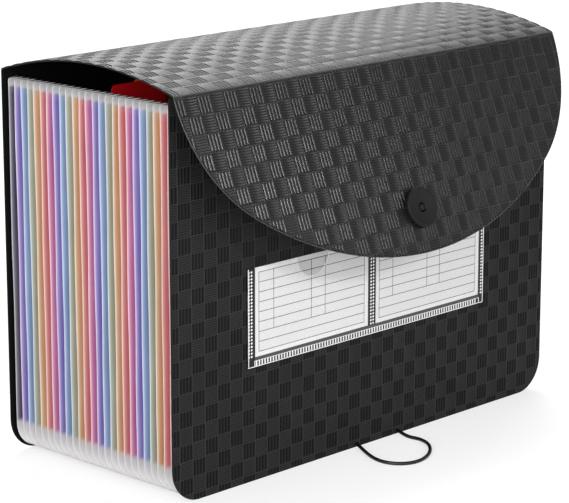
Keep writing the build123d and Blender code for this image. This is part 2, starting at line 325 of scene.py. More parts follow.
class Shape:
    """Gathers the points (millimetres) and faces of one piece."""

    def __init__(self):
        self.points = []
        self.tones = []
        self.count = 0
        self.faces = []
        self.slots = []
        self.smooth = []

    def add(self, points, faces, slot=0, smooth=False, tone=PLAIN_TONE):
        """Points, and faces that count them from 0."""
        points = np.asarray(points, float).reshape(-1, 3)
        start = self.count
        self.points.append(points)
        self.tones.append(np.broadcast_to(np.asarray(tone, float).ravel(), len(points)))
        self.count += len(points)
        self.faces.extend([tuple(start + i for i in face) for face in faces])
        self.slots.extend([slot] * len(faces))
        self.smooth.extend(np.broadcast_to(smooth, len(faces)).tolist())

    def grid(self, rows, slot=0, smooth=True, flip=False, tone=PLAIN_TONE):
        """A sheet of quads through rows of points."""
        rows = np.asarray(rows, float)
        high, wide = rows.shape[:2]
        faces = []
        for j in range(high - 1):
            for i in range(wide - 1):
                a = j * wide + i
                quad = (a, a + 1, a + wide + 1, a + wide)
                faces.append(quad[::-1] if flip else quad)
        self.add(rows.reshape(-1, 3), faces, slot, smooth, tone)

    def box(self, low, high, slot=0):
        """A block between two corners."""
        x0, y0, z0 = low
        x1, y1, z1 = high
        points = [(x, y, z) for x in (x0, x1) for y in (y0, y1) for z in (z0, z1)]
        faces = [(0, 1, 3, 2), (4, 6, 7, 5), (0, 4, 5, 1), (2, 3, 7, 6), (0, 2, 6, 4), (1, 5, 7, 3)]
        self.add(points, faces, slot)

    def piece(self, name, materials):
        """The finished object, with points at the same place joined."""
        points = np.concatenate(self.points)
        _, first, index = np.unique(np.round(points, 4), axis=0, return_index=True, return_inverse=True)
        index = index.reshape(-1)
        faces, slots, smooth = [], [], []
        for face, slot, soft in zip(self.faces, self.slots, self.smooth):
            corners = []
            for corner in face:
                joined = int(index[corner])
                if joined not in corners:
                    corners.append(joined)
            if len(corners) > 2:
                faces.append(corners)
                slots.append(slot)
                smooth.append(soft)
        mesh = bpy.data.meshes.new(name)
        mesh.from_pydata((points[first] / 1000).tolist(), [], faces)
        mesh.polygons.foreach_set("material_index", slots)
        mesh.polygons.foreach_set("use_smooth", smooth)
        for material in materials:
            mesh.materials.append(material)
        mesh.update()
        # The tone attribute is the sheets' colour, with painted shade in the grooves and painted highlights on borders,
        # creases and the flap's edges
        tone = np.concatenate(self.tones)[first]
        paint = mesh.color_attributes.new("tone", "FLOAT_COLOR", "POINT")
        paint.data.foreach_set("color", np.stack([tone, tone, tone, np.ones(len(tone))], 1).ravel())
        obj = bpy.data.objects.new(name, mesh)
        scene.collection.objects.link(obj)
        return obj


def inset(outline, distance):
    """A convex outline, counted anticlockwise, moved inwards."""
    points = np.asarray(outline, float)
    along = np.roll(points, -1, 0) - points
    along /= np.linalg.norm(along, axis=1)[:, None]
    inward = np.stack([-along[:, 1], along[:, 0]], 1)
    before = np.roll(inward, 1, 0)
    share = 1 + (inward * before).sum(1)
    return points + distance * (inward + before) / share[:, None]


def arc(centre_u, centre_v, radius, start, end, steps):
    """Points on an arc, angles in degrees."""
    angles = np.radians(np.linspace(start, end, steps + 1))
    return [(centre_u + radius * cos(a), centre_v + radius * sin(a)) for a in angles]


def cover_outline(top, top_radius):
    """Outline of a cover: round lower corners, nearly square upper ones."""
    r = COVER_CORNER_RADIUS
    points = arc(r - HALF_WIDTH, r, r, 180, 270, 24) + arc(HALF_WIDTH - r, r, r, 270, 360, 24)
    if top_radius:
        side = HALF_WIDTH - top_radius
        points += arc(side, top - top_radius, top_radius, 0, 90, 8)
        points += arc(-side, top - top_radius, top_radius, 90, 180, 8)
    else:
        points += [(HALF_WIDTH, top), (-HALF_WIDTH, top)]
    return points


def flap_outline(top):
    """Outline of the flap: straight sides, round shoulders and one wide arc across the end."""
    side_x = HALF_WIDTH - FLAP_SHOULDER_RADIUS
    drop = FLAP_SHOULDER_START - FLAP_DEPTH
    end_radius = (FLAP_SHOULDER_RADIUS**2 - side_x**2 - drop**2) / (2 * (drop + FLAP_SHOULDER_RADIUS))
    end_centre = end_radius - FLAP_DEPTH
    turn = np.degrees(atan2(FLAP_SHOULDER_START + end_centre, side_x))
    points = [(-HALF_WIDTH, top)]
    points += arc(-side_x, -FLAP_SHOULDER_START, FLAP_SHOULDER_RADIUS, 180, 180 + turn, 32)
    points += arc(0, end_centre, end_radius, 180 + turn, 360 - turn, 48)[1:]
    points += arc(side_x, -FLAP_SHOULDER_START, FLAP_SHOULDER_RADIUS, 360 - turn, 360, 32)[1:]
    points.append((HALF_WIDTH, top))
    return points


def weave_square(upright, weave, spans=1):
    """Grid lines across and up a unit square of the weave, and the level and tone at each crossing; the tone is darker
    in the grooves as painted shade and paler on the borders as a painted highlight.
    """
    ridges, steps, groove, crest_tone, groove_shade_tone, border_highlight_tone = weave[0 if upright else 1]
    across = np.linspace(0, 1, steps * ridges + 1)
    stops = np.linspace(RIDGE_TAPER, 1 - RIDGE_TAPER, spans + 1)
    if upright and spans == 1:
        stops = [RIDGE_TAPER, 2 * RIDGE_TAPER, 1 - 2 * RIDGE_TAPER, 1 - RIDGE_TAPER]
    along = np.array([0, *stops, 1])
    dip = np.outer(0.5 - 0.5 * np.cos(2 * pi * ridges * across), [0] + [1] * len(stops) + [0])
    tone = crest_tone + (groove_shade_tone - crest_tone) * dip
    for border in (tone, tone.T):
        border[[0, -1]] = border_highlight_tone
    level = -groove * dip
    return (across, along, level.T, tone.T) if upright else (along, across, level, tone)


def soft_faces(upright, rows, columns):
    """Which faces of a square are shaded smooth: all but the tapered ends of its ridges."""
    soft = np.ones((rows, columns), bool)
    (soft if upright else soft.T)[[0, -1]] = False
    return soft


def clip(corners, edges):
    """Cuts a small face, with corners (u, v, level, tone), to the inside of straight edges; cuts lie at level 0."""
    for point, inward in edges:
        kept = []
        for a, b in zip(corners, corners[1:] + corners[:1]):
            far_a = (a[0] - point[0]) * inward[0] + (a[1] - point[1]) * inward[1]
            far_b = (b[0] - point[0]) * inward[0] + (b[1] - point[1]) * inward[1]
            if far_a >= 0:
                kept.append(a)
            if (far_a < 0) != (far_b < 0):
                share = far_a / (far_a - far_b)
                cut = [p + share * (q - p) for p, q in zip(a, b)]
                kept.append((cut[0], cut[1], 0.0, cut[3]))
        corners = kept
        if len(corners) < 3:
            return []
    return corners


def embossed_sheet(shape, outline, place, row_start, row_height, weave, edge_tone):
    """A plate with the woven relief on its outer face. place(u, v, level) gives the point in space."""
    rim = inset(outline, EDGE_BEVEL)
    along = np.roll(rim, -1, 0) - rim
    inward = np.stack([-along[:, 1], along[:, 0]], 1) / np.linalg.norm(along, axis=1)[:, None]
    low, high = rim.min(0), rim.max(0)
    columns = range(int(np.floor((low[0] - WEAVE_X) / SQUARE)), int(np.ceil((high[0] - WEAVE_X) / SQUARE)))
    rows = range(int(np.floor((low[1] - row_start) / row_height)), int(np.ceil((high[1] - row_start) / row_height)))
    for row in rows:
        for column in columns:
            upright = (row + column) % 2 == 0
            for spans in (1, EDGE_SPANS):
                across, up, level, tone = weave_square(upright, weave, spans)
                u, v = np.meshgrid(WEAVE_X + SQUARE * (column + across), row_start + row_height * (row + up))
                far = (u[..., None] - rim[:, 0]) * inward[:, 0] + (v[..., None] - rim[:, 1]) * inward[:, 1]
                inside = (far >= 0).all()
                outside = (far.reshape(-1, len(rim)).max(0) <= 0).any()
                if inside or outside:
                    break
            soft = soft_faces(upright, u.shape[0] - 1, u.shape[1] - 1)
            if inside:
                shape.grid(place(u, v, level), smooth=soft.ravel(), tone=tone)
            if inside or outside:
                continue
            for j in range(u.shape[0] - 1):
                for i in range(u.shape[1] - 1):
                    cell = [(j, i), (j, i + 1), (j + 1, i + 1), (j + 1, i)]
                    worst = np.min([far[c] for c in cell], 0)
                    crossed = np.nonzero(worst < 0)[0]
                    face = clip(
                        [(u[c], v[c], level[c], tone[c]) for c in cell], [(rim[k], inward[k]) for k in crossed]
                    )
                    if face:
                        ends = np.array(face)
                        points = place(ends[:, 0], ends[:, 1], ends[:, 2])
                        shape.add(points, [tuple(range(len(face)))], 0, soft[j, i], ends[:, 3])
    count = len(outline)
    quads = [((a + 1) % count, a, a + count, (a + 1) % count + count) for a in range(count)]
    outer = np.asarray(outline, float)
    steps = [(rim, 0.0), (outer, -EDGE_BEVEL), (outer, EDGE_BEVEL - SHEET), (rim, -SHEET)]
    for (upper, upper_level), (lower, lower_level) in zip(steps, steps[1:]):
        top = place(upper[:, 0], upper[:, 1], np.full(len(upper), upper_level))
        bottom = place(lower[:, 0], lower[:, 1], np.full(len(lower), lower_level))
        shape.add(np.concatenate([top, bottom]), quads, 0, True, edge_tone)
    inner = place(rim[:, 0], rim[:, 1], np.full(len(rim), -SHEET))
    shape.add(inner, [tuple(range(len(rim)))[::-1]], LINING, tone=LINING_TONE)


def bead(shape, y, z, radius, tone=PLAIN_TONE, steps=12):
    """A round bar along X, as wide as the covers, on a fold."""
    rows = []
    for x in (-HALF_WIDTH + EDGE_BEVEL, HALF_WIDTH - EDGE_BEVEL):
        rows.append([(x, y + radius * cos(a), z + radius * sin(a)) for a in np.linspace(0, 2 * pi, steps + 1)])
    shape.grid(rows, flip=True, tone=tone)
    for row in rows:
        shape.add(row[:-1], [tuple(range(steps))])


def stack(*axes):
    """Points from their X, Y and Z."""
    return np.stack(np.broadcast_arrays(*axes), -1)


def dress(obj, body, material_slot, *replaced):
    """A piece that rides on a body and stands for CAD nodes."""
    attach(obj, body)
    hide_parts(*replaced)
    return obj


# Elastic cord on the floor
curve = bpy.data.curves.new("elastic_loop", "CURVE")
curve.dimensions = "3D"
curve.bevel_depth = CORD_DIAMETER / 2000
curve.bevel_resolution = 6
curve.use_fill_caps = True
spline = curve.splines.new("NURBS")
spline.points.add(len(CORD_ROUTE) - 1)
for point, (across, out, up) in zip(spline.points, CORD_ROUTE):
    point.co = (across / 1000, (FRONT_Y - out) / 1000, up / 1000, 1)
spline.order_u = 3
spline.use_endpoint_u = True
spline.resolution_u = 10
curve.materials.append(cord_black)
elastic_loop = bpy.data.objects.new("elastic_loop", curve)
scene.collection.objects.link(elastic_loop)
dress(elastic_loop, "front", "elastic_black", "elastic_cord")
nodes["cord_barbs"].data.materials.clear()
nodes["cord_barbs"].data.materials.append(barb_black)

# Front and back covers
shape = Shape()
embossed_sheet(
    shape, cover_outline(COVER_HEIGHT, COVER_TOP_RADIUS), lambda u, v, level: stack(u, FRONT_Y - level, v),
    WEAVE_Z, SQUARE, COVER_WEAVE, COVER_EDGE_TONE,
)
dress(shape.piece("front_cover_embossed", [cover_black, cover_black]), "front", "cover_black", "front_cover")

shape = Shape()
embossed_sheet(
    shape, cover_outline(BACK_FOLD_Z - FOLD_TRIM, 0), lambda u, v, level: stack(-u, BACK_Y + level, v), WEAVE_Z, SQUARE,
    COVER_WEAVE, COVER_EDGE_TONE,
)
bead(shape, ARCH_BACK_Y, BACK_FOLD_Z, FOLD_BEAD_RADIUS)
dress(shape.piece("back_cover_embossed", [cover_black, cover_black]), "back", "cover_black", "back_cover")

# Flap
flap_up = np.array([0, sin(TILT), cos(TILT)])
flap_out = np.array([0, -cos(TILT), sin(TILT)])


def on_flap(u, v, level):
    """A point of the flap: across it, up from its fold, and out from its outer face."""
    return stack(
        u, FOLD_Y + v * flap_up[1] + (HALF_SHEET + level) * flap_out[1],
        FOLD_Z + v * flap_up[2] + (HALF_SHEET + level) * flap_out[2],
    )


shape = Shape()
# The flap's rim and fold bead take the paler flap edge tone, a painted highlight
embossed_sheet(shape, flap_outline(-FOLD_TRIM), on_flap, -FLAP_ROW_START, FLAP_ROW, FLAP_WEAVE, FLAP_EDGE_HIGHLIGHT)
bead(shape, FOLD_Y, FOLD_Z, FOLD_BEAD_RADIUS, FLAP_EDGE_HIGHLIGHT)
dress(shape.piece("flap_embossed", [flap_black, cover_black]), "flap", "cover_black", "flap")

# Top panel: crowned strips between creases, one row of the weave on each
for index in range(STRIP_COUNT):
    back_end = np.array(score_line(index))
    front_end = np.array(score_line(index + 1))
    length = float(np.hypot(*(back_end - front_end)))
    along = (back_end - front_end) / length
    up = np.array([-along[1], along[0]])

    def on_strip(u, v, level, origin=front_end, along=along, up=up):
        """A point of the strip: across it, back from its front crease, and up from its middle plane."""
        return stack(u, origin[0] + v * along[0] + level * up[0], origin[1] + v * along[1] + level * up[1])

    def crown(v, length=length):
        """Level of the outer face, which is higher between the creases than at them."""
        side = 2 * v / length - 1
        return HALF_SHEET + STRIP_CROWN - (STRIP_CROWN + CREASE_DIP) * side**2

    shape = Shape()
    trims = []
    for line in (index + 1, index):
        moving = line % STRIPS_PER_LEAF == 0
        trims.append(FOLD_TRIM if line in (0, STRIP_COUNT) else LEAF_TRIM if moving else 0.0)
    start, stop = trims[0], length - trims[1]
    low_x, high_x = EDGE_BEVEL - HALF_WIDTH, HALF_WIDTH - EDGE_BEVEL
    first = int(np.floor((low_x - WEAVE_X) / SQUARE))
    last = int(np.ceil((high_x - WEAVE_X) / SQUARE))
    for column in range(first, last):
        upright = (index + column) % 2 == 0
        across, rise, level, tone = weave_square(upright, LID_WEAVE)
        if upright:
            level, tone = level[STRIP_ROWS], tone[STRIP_ROWS]
            rise = np.array([*rise[:3], *STRIP_MIDDLE, *rise[3:]])
        columns = np.clip(WEAVE_X + SQUARE * (column + across), low_x, high_x)
        u, v = np.meshgrid(columns, start + (stop - start) * rise)
        # Rows at a crease take the paler crease tone, a painted highlight
        for row, trim in zip((0, -1), trims):
            if trim < FOLD_TRIM:
                tone[row] = CREASE_HIGHLIGHT_TONE
        soft = soft_faces(upright, u.shape[0] - 1, u.shape[1] - 1)
        shape.grid(on_strip(u, v, crown(v) + level), smooth=soft.ravel(), tone=tone)
    v = np.linspace(start, stop, STRIP_EDGE_POINTS)
    under = np.full(STRIP_EDGE_POINTS, -HALF_SHEET)
    under[[0, -1]] = -CREASE_BEAD_RADIUS
    for x, rim_x, flip in ((low_x, -HALF_WIDTH, False), (high_x, HALF_WIDTH, True)):
        rows = [
            on_strip(x, v, crown(v)),
            on_strip(rim_x, v, crown(v) - EDGE_BEVEL),
            on_strip(rim_x, v, under + EDGE_BEVEL),
            on_strip(x, v, under),
        ]
        for upper, lower in zip(rows, rows[1:]):
            shape.grid([upper, lower], flip=flip, tone=COVER_EDGE_TONE)
    shape.grid([on_strip(low_x, v, under), on_strip(high_x, v, under)])
    for end, flip in ((0, False), (STRIP_EDGE_POINTS - 1, True)):
        top_row = on_strip(np.array([low_x, high_x]), v[[end, end]], crown(v[[end, end]]))
        low_row = on_strip(np.array([low_x, high_x]), v[[end, end]], under[[end, end]])
        shape.grid([low_row, top_row], smooth=False, flip=flip)
    for (y, z), trim in zip((front_end, back_end), trims):
        if trim < FOLD_TRIM:
            bead(shape, y, z, CREASE_BEAD_RADIUS)
    leaf = index // STRIPS_PER_LEAF + 1
    number = f"{index + 1:02d}"
    dress(
        shape.piece(f"strip_embossed_{number}", [lid_black]), f"top_leaf_{leaf}", "cover_black",
        f"top_strip_{number}",
    )


# Button and rivet, turned round the flap's normal
def turned(shape, profile, steps=64, slot=0):
    """A profile of (radius, height over the flap's outer face) turned round the button's axis."""
    rows = []
    for radius, height in profile:
        angles = np.linspace(0, 2 * pi, steps + 1)
        rows.append(on_flap(radius * np.cos(angles), radius * np.sin(angles) - BUTTON_DISTANCE, height))
    shape.grid(rows, slot)


disc_edge = arc(DISC_RADIUS, DISC_FOOT + DISC_ROUND, DISC_ROUND, -90, 0, 6)
disc_edge += arc(DISC_RADIUS, DISC_TOP - DISC_ROUND, DISC_ROUND, 0, 90, 6)
neck_flare = NECK_RADIUS + 0.2
disc_face = [(DISC_RADIUS, DISC_TOP), (10.4, DISC_TOP), (10.2, DISC_FACE)]
dimple = [(3.6, DISC_FACE), (3.3, 3.66), (3.1, 3.5), (DIMPLE_RADIUS, DIMPLE_FOOT)]
DIMPLE_SLOT = 1
shape = Shape()
turned(shape, [(BUTTON_HOLE, 0), (NECK_RADIUS, 0)])
turned(shape, [(NECK_RADIUS, 0), (NECK_RADIUS, 1.6), (neck_flare, DISC_FOOT)])
turned(shape, [(neck_flare, DISC_FOOT), (DISC_RADIUS, DISC_FOOT)])
turned(shape, disc_edge)
turned(shape, disc_face + dimple)
# The recess floor takes the near-black material: painted shade
turned(shape, [(DIMPLE_RADIUS, DIMPLE_FOOT), (BUTTON_HOLE, DIMPLE_FOOT)], slot=DIMPLE_SLOT)
turned(shape, [(BUTTON_HOLE, DIMPLE_FOOT), (BUTTON_HOLE, 0)])
dress(shape.piece("button_turned", [button_black, recess_painted_shade]), "flap", "button_black", "button")
shape = Shape()
head = [(0.01, -1.8), (3.4, -1.75), (4.2, -1.5), (RIVET_HEAD_RADIUS, -1.15), (RIVET_HEAD_RADIUS, -SHEET)]
dome = [(RIVET_RADIUS, RIVET_TOP), (1.95, 3.2), (1.75, 3.4), (1.1, 3.52), (0.01, 3.53)]
turned(shape, head)
turned(shape, [(RIVET_HEAD_RADIUS, -SHEET), (RIVET_RADIUS, -SHEET)])
turned(shape, [(RIVET_RADIUS, -SHEET), (RIVET_RADIUS, RIVET_TOP)])
turned(shape, dome)
dress(shape.piece("rivet_turned", [button_black]), "flap", "button_black", "button_rivet")

# Label holder: clear film with weld marks along its sides, middle and bottom
WINDOW_WIDTH = (HOLDER_WIDTH - 2 * WELD_WIDTH - CENTRE_WELD_WIDTH) / 2
WINDOW_X = (CENTRE_WELD_WIDTH + WINDOW_WIDTH) / 2
WINDOW_BOTTOM = HOLDER_BOTTOM + WELD_WIDTH
HOLDER_TOP = HOLDER_BOTTOM + HOLDER_HEIGHT
HOLDER_DEPTH = CARD + 2 * CARD_CLEARANCE
FILM_Y = FRONT_Y - HOLDER_DEPTH
shape = Shape()
half_holder = HOLDER_WIDTH / 2
holder_right = half_holder - RIGHT_WELD_TRIM
notch = []
for centre in (WINDOW_X, -WINDOW_X):
    notch += arc(centre, HOLDER_TOP, NOTCH_RADIUS, 0, -180, NOTCH_STEPS)
film_outline = [(-half_holder, HOLDER_TOP), (-half_holder, HOLDER_BOTTOM), (holder_right, HOLDER_BOTTOM)]
film_outline += [(holder_right, HOLDER_TOP)] + notch
count = len(film_outline)
for y, flip in ((FILM_Y - HOLDER_FILM, False), (FILM_Y, True)):
    face = tuple(range(count))
    shape.add([(x, y, z) for x, z in film_outline], [face[::-1] if flip else face])
sides = [(x, y, z) for y in (FILM_Y - HOLDER_FILM, FILM_Y) for x, z in film_outline]
shape.add(sides, [((i + 1) % count, i, i + count, (i + 1) % count + count) for i in range(count)])
dress(shape.piece("holder_film", [film_clear]), "front", "clear_film", "label_holder")

shape = Shape()
weld_face = FILM_Y - HOLDER_FILM
BLACK, GREY, WHITE, NOTCH = range(4)


def mark(x0, z0, x1, z1, proud, slot):
    """A block from the cover to a little out from the film."""
    shape.box((x0, weld_face - proud, z0), (x1, FRONT_Y, z1), slot)


def diamond(x, z, half_width):
    """A white lozenge of the side and middle welds."""
    points = [(x - half_width, z), (x, z - DOT_HALF_HEIGHT), (x + half_width, z), (x, z + DOT_HALF_HEIGHT)]
    solid = [(px, y, pz) for y in (weld_face - WHITE_PROUD, FRONT_Y) for px, pz in points]
    sides = [((i + 1) % 4, i, i + 4, (i + 1) % 4 + 4) for i in range(4)]
    shape.add(solid, [(0, 1, 2, 3), (7, 6, 5, 4)] + sides, WHITE)


def half_circle(centre, radius, y):
    """Points along the lower half of a circle on the holder's top edge."""
    return [(x, y, min(z, HOLDER_TOP)) for x, z in arc(centre, HOLDER_TOP, radius, 180, 360, NOTCH_STEPS)]


inner = half_holder - WELD_WIDTH
half_centre = CENTRE_WELD_WIDTH / 2
foot_line, grey_low = HOLDER_BOTTOM + FOOT_LINE, HOLDER_BOTTOM + GREY_LOW
bar_low, bar_high = HOLDER_BOTTOM + BAR_LOW, HOLDER_BOTTOM + BAR_HIGH
for x0, x1 in ((-half_holder, -inner), (-half_centre, half_centre), (inner, holder_right)):
    mark(x0, WINDOW_BOTTOM, x1, HOLDER_TOP, BLACK_PROUD, BLACK)
mark(-half_holder, HOLDER_BOTTOM, holder_right, WINDOW_BOTTOM, BLACK_PROUD, BLACK)
mark(-inner, grey_low, inner, HOLDER_BOTTOM + GREY_HIGH, GREY_PROUD, GREY)
mark(-inner, bar_high, inner, grey_low, WHITE_PROUD, WHITE)
mark(-half_holder, HOLDER_BOTTOM, holder_right, foot_line, WHITE_PROUD, WHITE)
for k in range(int(2 * inner / BAR_PITCH)):
    x = -inner + BAR_PITCH * (k + 0.5)
    mark(x - BAR_HALF, bar_low, x + BAR_HALF, bar_high, WHITE_PROUD, WHITE)
for side, outer_edge in ((-1, -half_holder), (1, holder_right)):
    ends = sorted((outer_edge, outer_edge - SIDE_LINE * side))
    mark(ends[0], foot_line, ends[1], HOLDER_TOP, SIDE_PROUD, WHITE)
    ends = sorted((side * inner, side * (inner + SIDE_LINE)))
    mark(ends[0], foot_line, ends[1], grey_low, WHITE_PROUD, WHITE)
# Columns of lozenges: their place across the holder and half their width
DOT_COLUMNS = (
    (-1.05, 0.8), (1.05, 0.8), (0.75 - half_holder, 0.6), (holder_right - 0.6, 0.6),
    (2.8 - half_holder, 0.85), (holder_right - 2.1, 0.85),
)
for k in range(int((HOLDER_TOP - WINDOW_BOTTOM) / DOT_PITCH)):
    for x, half_width in DOT_COLUMNS:
        diamond(x, WINDOW_BOTTOM + DOT_PITCH * (k + 0.5), half_width)
# A white ring round each thumb notch: a painted highlight on the film's cut edge
NOTCH_INSIDE = NOTCH_RADIUS - NOTCH_GAP
NOTCH_HIGHLIGHT_RING = ((NOTCH_INSIDE, 0.0), (NOTCH_INSIDE, NOTCH_PROUD), (NOTCH_RADIUS + NOTCH_EDGE, NOTCH_PROUD))
for centre in (-WINDOW_X, WINDOW_X):
    rows = [half_circle(centre, radius, weld_face - proud) for radius, proud in NOTCH_HIGHLIGHT_RING]
    shape.grid(rows, WHITE, smooth=False)
    # A grey see-through half disc in each thumb notch: painted shade on the card there
    half_disc = half_circle(centre, NOTCH_RADIUS, FILM_Y)
    shape.add(half_disc, [tuple(range(len(half_disc)))], NOTCH)
weld_materials = [weld_black, weld_grey, weld_white, notch_shade]
dress(shape.piece("holder_welds", weld_materials), "front", "clear_film", "label_holder")

# Label cards with their ruling
CARD_WIDTH = WINDOW_WIDTH - 2 * CARD_CLEARANCE
CARD_BOTTOM = WINDOW_BOTTOM + CARD_CLEARANCE
CARD_FACE_Y = FRONT_Y - CARD_CLEARANCE - CARD
PAPER, RULING, PANEL = range(3)
half_rule = RULE_WIDTH / 2
for side, centre in (("left", -WINDOW_X), ("right", WINDOW_X)):
    shape = Shape()
    left, right = centre - CARD_WIDTH / 2, centre + CARD_WIDTH / 2
    shape.box((left, CARD_FACE_Y, CARD_BOTTOM), (right, FRONT_Y - CARD_CLEARANCE, HOLDER_TOP), PAPER)

    def print_on(x0, z0, x1, z1, proud, slot):
        shape.box((x0, CARD_FACE_Y - proud, z0), (x1, CARD_FACE_Y + PRINT_DEPTH, z1), slot)

    ruled_left, ruled_right = left + RULED_MARGIN, right - RULED_MARGIN
    ruled_bottom = CARD_BOTTOM + RULED_FOOT
    ruled_top = ruled_bottom + RULE_ROWS * RULE_PITCH
    print_on(ruled_left, ruled_bottom, ruled_right, ruled_top, PANEL_PROUD, PANEL)
    for k in range(RULE_ROWS + 1):
        z = ruled_bottom + k * RULE_PITCH
        print_on(ruled_left, z - half_rule, ruled_right, z + half_rule, ROW_PROUD, RULING)
    columns_end = ruled_bottom + UNDIVIDED_ROWS * RULE_PITCH
    uprights = [(ruled_left, ruled_bottom), (ruled_right, ruled_bottom)]
    uprights += [(left + x, columns_end) for x in CARD_COLUMNS]
    for x, low in uprights:
        print_on(x - half_rule, low, x + half_rule, ruled_top, COLUMN_PROUD, RULING)
    dress(
        shape.piece(f"card_{side}_ruled", [paper_white, ruling_grey, panel_white]), f"card_{side}", "label_paper",
        f"label_card_{side}",
    )

# Pleated gusset film, tinted by the dividers that show through it
PALE = [
    linear(216, 170, 163), linear(210, 188, 165), linear(184, 192, 188), linear(174, 189, 217),
    linear(188, 171, 212), linear(218, 168, 188),
]
DEEP = [
    linear(178, 88, 98), linear(184, 130, 90), linear(150, 143, 116), linear(108, 132, 164),
    linear(98, 92, 164), linear(162, 84, 143),
]
# Heights at which the tint begins and ends, the frost starts to darken towards the top edge, the painted light on the
# foot fades out, and the painted highlight on the folds of the frosted ends fades in
TINT_LOW, TINT_HIGH = (19.0, 22.5), (222.3, 225.0)
FROST_TOP_START, FOOT_PAINTED_LIGHT_RANGE, RIDGE_HIGHLIGHT_RANGE = 223.5, (3.0, 20.0), (8.0, 26.0)
# Depths in a pleat: its pale outer fold with its painted highlight, the run to the full tint behind it, and the band of
# painted highlight on the folds of the frosted ends
FOLD_BAND, TINT_RUN, TINT_POWER, RIDGE_HIGHLIGHT_BAND = 0.4, 2.5, 0.68, 0.3
CONTACT_VARY = 0.1
LONG_SWAY, SHORT_SWAY, SWAY_RANGE = 0.28, 0.06, (20, 60)
FROST = linear(196, 194, 195)
FROST_TOP = linear(168, 167, 168)
# Painted light: the frosted foot is near white, where light from the floor falls on it
FROST_FOOT_PAINTED_LIGHT = linear(250, 248, 249)
# Painted highlight along the pleats' outer folds
FOLD_HIGHLIGHT = linear(240, 238, 238)
FRONT_END = (linear(214, 172, 170), linear(196, 120, 122))
BACK_END = (linear(142, 142, 150), linear(28, 27, 66))
corner_x = GUSSET_HALF_WIDTH - GUSSET_CORNER
corner_z = GUSSET_FLOOR_GAP + GUSSET_CORNER
side_z = [GUSSET_TOP - drop for drop in (0, 0.3, 0.7, 1.1, 1.5, 2.5, 3.5, 4.5, 5.5, 9.5, 20)]
side_z += [190, 170, 150, 130, 110, 90, 70, 50, 36, 28, 24, 22, 20]
route = [(-GUSSET_HALF_WIDTH, z, -1.0, 0.0) for z in side_z]
for a in np.linspace(180, 270, 11):
    n = (cos(radians(a)), sin(radians(a)))
    route.append((-corner_x + GUSSET_CORNER * n[0], corner_z + GUSSET_CORNER * n[1], *n))
route += [(x, GUSSET_FLOOR_GAP, 0.0, -1.0) for x in np.linspace(-corner_x, 0, 9)[1:]]
route += [(-x, z, -nx, nz) for x, z, nx, nz in reversed(route[:-1])]
# Shares of a pleat's pitch at which its section has a point
shares = np.array([0, 0.12, 0.25, 0.36, 0.43, 0.47, 0.5, 0.53, 0.57, 0.64, 0.75, 0.88])
sections = []
for pleat in range(POCKETS):
    for share in shares:
        depth = hypot(2 * PLEAT_DEPTH * (share - 0.5), FOLD_ROUND) - FOLD_ROUND
        sections.append((pleat, share, depth * PLEAT_DEPTH / (hypot(PLEAT_DEPTH, FOLD_ROUND) - FOLD_ROUND)))
sections.append((POCKETS - 1, 1.0, PLEAT_DEPTH))


def smooth_step(value, low, high):
    """0 below low, 1 above high, and an S curve between."""
    t = min(max((value - low) / (high - low), 0), 1)
    return t * t * (3 - 2 * t)


def mix(a, b, share):
    """The first colour turned into the second by a share."""
    return tuple(p + (q - p) * share for p, q in zip(a, b))


def pleat_colour(pleat, share, depth, z):
    """Colour of the film: frosted at its ends and elsewhere tinted by the divider behind it, with a painted highlight
    along its outer folds and painted light on its frosted foot.
    """
    shown = smooth_step(z, *TINT_LOW) * (1 - smooth_step(z, *TINT_HIGH))
    divider = pleat if share < 0.5 else pleat + 1
    pale, deep = PALE[(divider - 1) % len(PALE)], DEEP[(divider - 1) % len(DEEP)]
    if divider == 0:
        pale, deep = FRONT_END
    if divider == POCKETS or (pleat == POCKETS - 1 and share < 0.5):
        pale, deep = BACK_END
    contact = 1 - CONTACT_VARY * (1 + sin(z / 17.0 + 1.9 * pleat) * sin(z / 41.0 + 0.7 * pleat))
    tint = min(max((depth - FOLD_BAND) / TINT_RUN, 0.0), 1.0) ** TINT_POWER
    colour = mix(pale, deep, contact * tint)
    # Painted highlight along the outer fold
    colour = mix(mix(pale, FOLD_HIGHLIGHT, 0.6), colour, smooth_step(depth, 0.0, FOLD_BAND))
    frost = mix(FROST, FROST_TOP, smooth_step(z, FROST_TOP_START, GUSSET_TOP))
    # Painted light: the foot is lighter, where light from the floor falls on it
    frost = mix(FROST_FOOT_PAINTED_LIGHT, frost, smooth_step(z, *FOOT_PAINTED_LIGHT_RANGE))
    # Painted highlight along the folds of the frosted ends
    ridge = mix(mix(frost, FOLD_HIGHLIGHT, 0.5), frost, smooth_step(depth, 0.0, RIDGE_HIGHLIGHT_BAND))
    return mix(mix(frost, ridge, smooth_step(z, *RIDGE_HIGHLIGHT_RANGE)), colour, shown)


def pleat_sway(pleat, depth, z):
    """How far a pleat's outer fold wanders from its straight line on the sides."""
    sway = sin(z / 21.0 + 2.4 * pleat) * LONG_SWAY + sin(z / 9.0 + 1.3 * pleat) * SHORT_SWAY
    return sway * smooth_step(z, *SWAY_RANGE) * (1 - depth / PLEAT_DEPTH)


